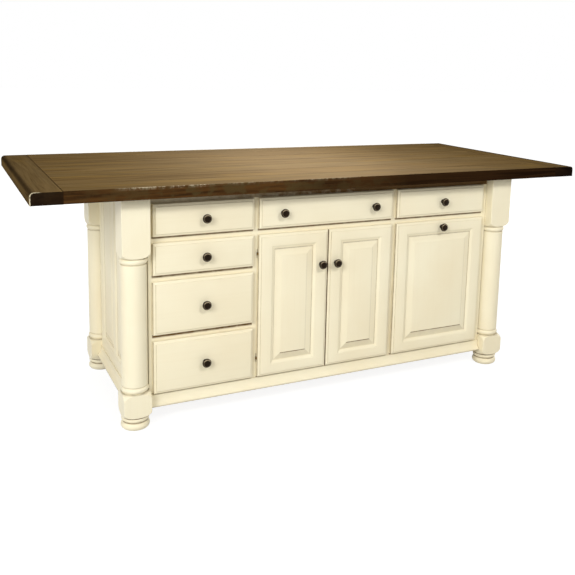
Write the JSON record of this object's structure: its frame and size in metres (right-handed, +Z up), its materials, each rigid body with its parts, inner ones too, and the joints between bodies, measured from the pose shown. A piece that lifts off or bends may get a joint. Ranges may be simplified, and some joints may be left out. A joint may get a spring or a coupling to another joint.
{
  "type": "kitchen island unit",
  "caption": "Free-standing kitchen island: panelled cabinet between turned corner posts, with drawers, a two-door cupboard and a waste pull-out under an overhanging plank top.",
  "frame": {"origin": "on the floor, under the middle of the top", "axes": "+X left to right along the front, +Y from the front to the back, +Z up"},
  "size_m": [2.336, 1.022, 0.914],
  "materials": {
    "dark_stained_wood": "dark stain, distressed, satin oil",
    "cream_paint": "cream paint with brown glaze in the grooves",
    "birch_boards": "clear lacquered birch",
    "zinc_steel": "zinc plated",
    "oil_rubbed_bronze": "dark oil-rubbed bronze",
    "grey_plastic": "fine matte"
  },
  "bodies": {
    "cabinet": {"top_planks": "dark_stained_wood", "breadboard_ends": "dark_stained_wood", "front_left_post": "cream_paint", "front_right_post": "cream_paint", "back_left_post": "cream_paint", "back_right_post": "cream_paint", "bun_feet": "cream_paint", "front_frame": "cream_paint", "side_frames": "cream_paint", "back_frame": "cream_paint", "side_panels": "cream_paint", "back_panels": "cream_paint", "base_mouldings": "cream_paint", "cabinet_sides": "birch_boards", "cabinet_floors": "birch_boards", "top_stretchers": "birch_boards", "cabinet_slides": "zinc_steel", "hinge_frame_leaves": "oil_rubbed_bronze", "hinge_pins": "oil_rubbed_bronze", "cupboard_shelf": "birch_boards", "shelf_pins": "zinc_steel"},
    "left_drawer_1": {"left_drawer_1_front": "cream_paint", "left_drawer_1_box": "birch_boards", "left_drawer_1_knob": "oil_rubbed_bronze", "left_drawer_1_runners": "zinc_steel"},
    "left_drawer_2": {"left_drawer_2_front": "cream_paint", "left_drawer_2_box": "birch_boards", "left_drawer_2_knob": "oil_rubbed_bronze", "left_drawer_2_runners": "zinc_steel"},
    "left_drawer_3": {"left_drawer_3_front": "cream_paint", "left_drawer_3_box": "birch_boards", "left_drawer_3_knob": "oil_rubbed_bronze", "left_drawer_3_runners": "zinc_steel"},
    "left_drawer_4": {"left_drawer_4_front": "cream_paint", "left_drawer_4_box": "birch_boards", "left_drawer_4_knob": "oil_rubbed_bronze", "left_drawer_4_runners": "zinc_steel"},
    "centre_drawer": {"centre_drawer_front": "cream_paint", "centre_drawer_box": "birch_boards", "centre_drawer_knob": "oil_rubbed_bronze", "centre_drawer_runners": "zinc_steel"},
    "right_drawer": {"right_drawer_front": "cream_paint", "right_drawer_box": "birch_boards", "right_drawer_knob": "oil_rubbed_bronze", "right_drawer_runners": "zinc_steel"},
    "pull_out": {"pull_out_frame": "cream_paint", "pull_out_panel": "cream_paint", "pull_out_knob": "oil_rubbed_bronze", "pull_out_tray": "birch_boards", "pull_out_runners": "zinc_steel", "waste_bin": "grey_plastic"},
    "left_door": {"left_door_frame": "cream_paint", "left_door_panel": "cream_paint", "left_door_knob": "oil_rubbed_bronze", "left_door_hinge_leaves": "oil_rubbed_bronze"},
    "right_door": {"right_door_frame": "cream_paint", "right_door_panel": "cream_paint", "right_door_knob": "oil_rubbed_bronze", "right_door_hinge_leaves": "oil_rubbed_bronze"}
  },
  "joints": [
    {"name": "left_drawer_1_slide", "type": "slide", "parent": "cabinet", "child": "left_drawer_1", "axis": [0, -1, 0], "range_m": [0, 0.38]},
    {"name": "left_drawer_2_slide", "type": "slide", "parent": "cabinet", "child": "left_drawer_2", "axis": [0, -1, 0], "range_m": [0, 0.38]},
    {"name": "left_drawer_3_slide", "type": "slide", "parent": "cabinet", "child": "left_drawer_3", "axis": [0, -1, 0], "range_m": [0, 0.38]},
    {"name": "left_drawer_4_slide", "type": "slide", "parent": "cabinet", "child": "left_drawer_4", "axis": [0, -1, 0], "range_m": [0, 0.38]},
    {"name": "centre_drawer_slide", "type": "slide", "parent": "cabinet", "child": "centre_drawer", "axis": [0, -1, 0], "range_m": [0, 0.38]},
    {"name": "right_drawer_slide", "type": "slide", "parent": "cabinet", "child": "right_drawer", "axis": [0, -1, 0], "range_m": [0, 0.38]},
    {"name": "pull_out_slide", "type": "slide", "parent": "cabinet", "child": "pull_out", "axis": [0, -1, 0], "range_m": [0, 0.38]},
    {"name": "left_door_hinge", "type": "hinge", "parent": "cabinet", "child": "left_door", "pos_m": [-0.335, -0.4143, 0.406], "axis": [0, 0, -1], "range_deg": [0, 90]},
    {"name": "right_door_hinge", "type": "hinge", "parent": "cabinet", "child": "right_door", "pos_m": [0.267, -0.4143, 0.406], "axis": [0, 0, 1], "range_deg": [0, 90]}
  ]
}
